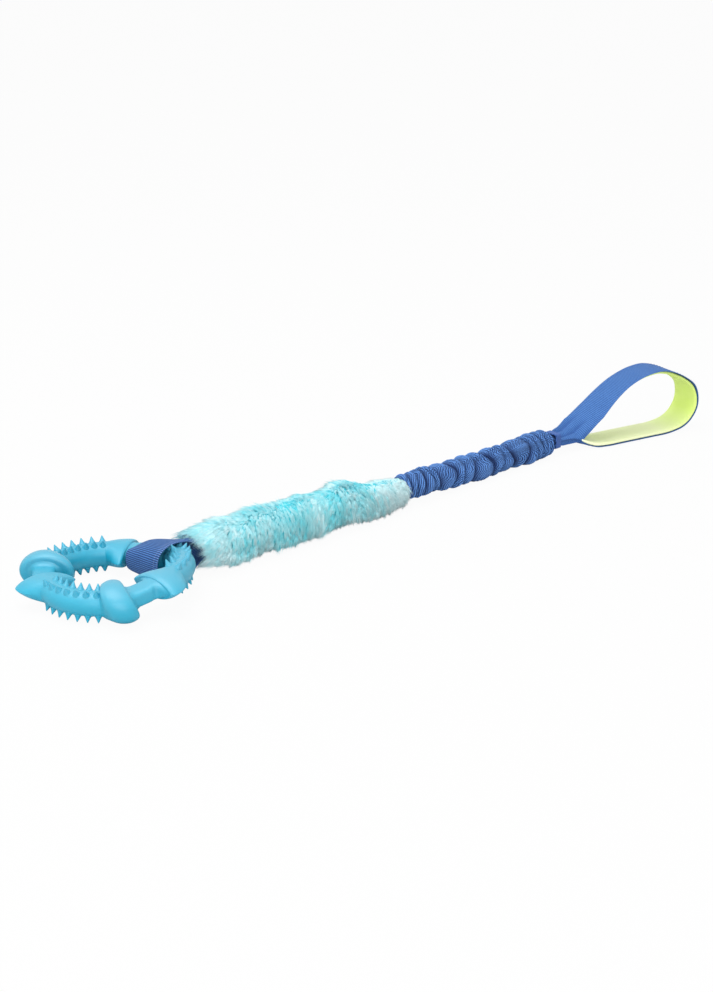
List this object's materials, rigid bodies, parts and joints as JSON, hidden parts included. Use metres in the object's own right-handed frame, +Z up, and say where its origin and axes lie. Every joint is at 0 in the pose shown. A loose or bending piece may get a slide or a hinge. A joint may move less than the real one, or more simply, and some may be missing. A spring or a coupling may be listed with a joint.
{
  "type": "bungee tug toy",
  "caption": "Tug toy with a moulded spiked chew ring on a webbing loop, a plush sleeve, a gathered elastic stretch section and a padded webbing hand loop.",
  "frame": {"origin": "centre of the footprint of the whole toy, on the floor that it lies on", "axes": "+X along the sleeve from the ring end to the hand loop, +Y across it, +Z up off the floor"},
  "size_m": [0.56, 0.1022, 0.0507],
  "materials": {
    "chew_ring": "moulded, satin",
    "ring_loop_webbing": "woven webbing, fine cross ribs",
    "ring_loop_stitching": "thread, matte",
    "sleeve_backing": "knitted, matte",
    "fur_sleeve": "plush pile, matte",
    "sleeve_gather_thread": "thread, matte",
    "cord_stitching_sleeve_end": "thread, matte",
    "elastic_cord": "elastic cord, satin",
    "bungee_cover": "gathered woven webbing, fine ribs",
    "neck_stitching": "thread, matte",
    "handle_webbing": "woven webbing, fine cross ribs",
    "handle_padding": "neoprene lining, smooth matte",
    "handle_stitch_row_left": "thread, matte",
    "handle_stitch_row_right": "thread, matte"
  },
  "bodies": {
    "sleeve": {"fur_sleeve": "fur_sleeve", "sleeve_backing": "sleeve_backing", "sleeve_gather_thread": "sleeve_gather_thread", "ring_loop_stitching": "ring_loop_stitching", "cord_stitching_sleeve_end": "cord_stitching_sleeve_end"},
    "ring_loop": {"ring_loop_webbing": "ring_loop_webbing"},
    "ring": {"chew_ring": "chew_ring"},
    "bungee": {"bungee_cover": "bungee_cover", "elastic_cord": "elastic_cord"},
    "neck": {"neck_stitching": "neck_stitching"},
    "handle": {"handle_webbing": "handle_webbing", "handle_padding": "handle_padding", "handle_stitch_row_left": "handle_stitch_row_left", "handle_stitch_row_right": "handle_stitch_row_right"}
  },
  "joints": [
    {"name": "loop_flex", "type": "hinge", "parent": "sleeve", "child": "ring_loop", "pos_m": [-0.15923, -0.00403, 0.01607], "axis": [0.342, 0.9397, 0], "range_deg": [-45, 50], "deforming": ["ring_loop_webbing"]},
    {"name": "ring_swing", "type": "hinge", "parent": "ring_loop", "child": "ring", "pos_m": [-0.18648, 0.00589, 0.01377], "axis": [-0.0663, 0.9978, 0], "range_deg": [-60, 60]},
    {"name": "bungee_bend", "type": "hinge", "parent": "sleeve", "child": "bungee", "pos_m": [0.00077, -0.00403, 0.01607], "axis": [0.0174, -0.9998, 0], "range_deg": [-50, 60], "deforming": ["elastic_cord", "bungee_cover"]},
    {"name": "bungee_stretch", "type": "slide", "parent": "bungee", "child": "neck", "axis": [0.9998, 0.0174, 0], "range_m": [0, 0.15], "stiffness_N_per_m": 400, "deforming": ["bungee_cover", "elastic_cord"]},
    {"name": "handle_fold", "type": "hinge", "parent": "neck", "child": "handle", "pos_m": [0.16275, -0.0012, 0.00997], "axis": [-0.196, -0.9806, 0], "range_deg": [-60, 75], "deforming": ["handle_webbing"]}
  ]
}
